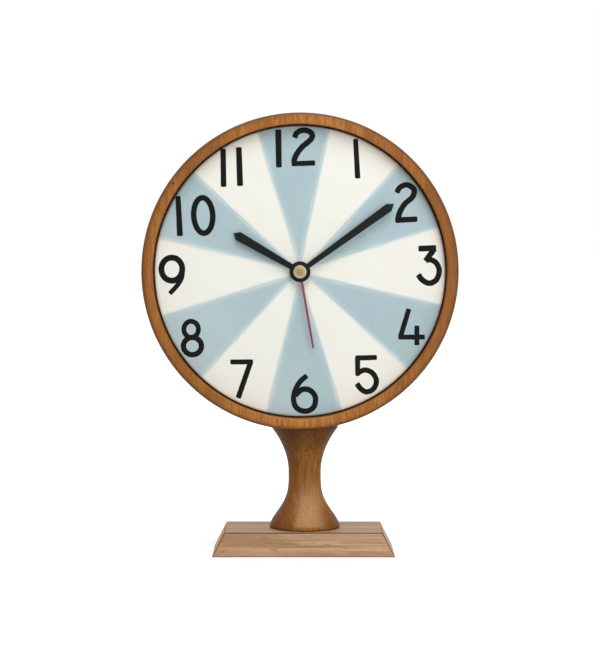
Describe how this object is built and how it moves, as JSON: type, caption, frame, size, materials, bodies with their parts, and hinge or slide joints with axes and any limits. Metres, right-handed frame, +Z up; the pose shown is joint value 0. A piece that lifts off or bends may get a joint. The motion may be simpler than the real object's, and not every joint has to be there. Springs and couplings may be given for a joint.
{
  "type": "table clock",
  "caption": "Round table clock in a turned wooden ring on a spool-shaped stem and plinth, with hour, minute and second hands and a battery quartz movement.",
  "frame": {"origin": "on the ground under the middle of the ring, which is the bottom centre of the bounding box", "axes": "+Z up, +X to the right as the dial is read, the dial faces -Y"},
  "size_m": [0.2, 0.053, 0.2801],
  "materials": {
    "ring_wood": "oiled, satin, upright grain",
    "stem_wood": "turned and oiled, darker than the ring",
    "base_wood": "oiled, matt, grain along its length",
    "dowel_wood": "raw",
    "glazed_dial": "off-white and pale blue glaze, soft sheen",
    "black_enamel": "matt black paint",
    "red_enamel": "red paint",
    "turned_brass": "fine turned face",
    "steel": "bright zinc",
    "black_rubber": "matt",
    "black_plastic": "fine moulded texture",
    "white_plastic": "moulded acetal",
    "motor_iron": "bare sheet",
    "ferrite": "sintered magnet",
    "copper": "lacquered copper wire",
    "board_green": "circuit board laminate",
    "battery_sleeve": "plain sleeve, no print"
  },
  "bodies": {
    "clock_body": {"base": "base_wood", "stem": "stem_wood", "stem_dowel": "dowel_wood", "base_screw": "steel", "frame_ring": "ring_wood", "dial": "glazed_dial", "nut_washer": "steel", "mounting_nut": "turned_brass", "movement_gasket": "black_rubber", "movement_front_case": "black_plastic", "movement_rear_case": "black_plastic", "train_plate": "white_plastic", "stator_plate": "motor_iron", "coil_core": "motor_iron", "coil_bobbin": "white_plastic", "coil_winding": "copper", "circuit_board": "board_green", "control_chip": "black_plastic", "quartz_crystal": "steel", "contact_positive": "steel", "contact_negative": "steel", "battery_cell": "battery_sleeve"},
    "minute_work": {"minute_hand": "black_enamel", "cannon_pinion": "white_plastic"},
    "hour_work": {"hour_hand": "black_enamel", "hour_wheel": "white_plastic"},
    "setting_work": {"minute_work_wheel": "white_plastic", "time_set_knob": "black_plastic"},
    "seconds_work": {"second_hand": "red_enamel", "second_cap": "turned_brass", "seconds_wheel": "white_plastic"},
    "third_arbor": {"third_wheel": "white_plastic"},
    "centre_arbor": {"centre_wheel": "white_plastic"},
    "intermediate_arbor": {"intermediate_wheel": "white_plastic"},
    "rotor": {"rotor_pinion": "white_plastic", "rotor_magnet": "ferrite"}
  },
  "joints": [
    {"name": "minute_hand_turn", "type": "hinge", "parent": "clock_body", "child": "minute_work", "pos_m": [0, 0, 0.18005], "axis": [0, 1, 0], "continuous": true},
    {"name": "hour_hand_turn", "type": "hinge", "parent": "clock_body", "child": "hour_work", "pos_m": [0, 0, 0.18005], "axis": [0, 1, 0], "continuous": true},
    {"name": "set_knob_turn", "type": "hinge", "parent": "clock_body", "child": "setting_work", "pos_m": [-0.0077, 0, 0.18005], "axis": [0, 1, 0], "continuous": true},
    {"name": "second_hand_turn", "type": "hinge", "parent": "clock_body", "child": "seconds_work", "pos_m": [0, 0, 0.18005], "axis": [0, 1, 0], "continuous": true},
    {"name": "third_wheel_turn", "type": "hinge", "parent": "clock_body", "child": "third_arbor", "pos_m": [0.00695, 0, 0.17819], "axis": [0, 1, 0], "continuous": true},
    {"name": "centre_wheel_turn", "type": "hinge", "parent": "clock_body", "child": "centre_arbor", "pos_m": [0, 0, 0.18005], "axis": [0, 1, 0], "continuous": true},
    {"name": "intermediate_wheel_turn", "type": "hinge", "parent": "clock_body", "child": "intermediate_arbor", "pos_m": [0, 0, 0.18601], "axis": [0, 1, 0], "continuous": true},
    {"name": "rotor_turn", "type": "hinge", "parent": "clock_body", "child": "rotor", "pos_m": [0, 0, 0.1916], "axis": [0, 1, 0], "continuous": true}
  ],
  "couplings": [
    {"joint": "hour_hand_turn", "follows": "minute_hand_turn", "ratio": 0.083333},
    {"joint": "set_knob_turn", "follows": "minute_hand_turn", "ratio": -0.33333},
    {"joint": "third_wheel_turn", "follows": "second_hand_turn", "ratio": -0.13333},
    {"joint": "centre_wheel_turn", "follows": "second_hand_turn", "ratio": 0.016667},
    {"joint": "intermediate_wheel_turn", "follows": "second_hand_turn", "ratio": -5},
    {"joint": "rotor_turn", "follows": "second_hand_turn", "ratio": 30}
  ]
}
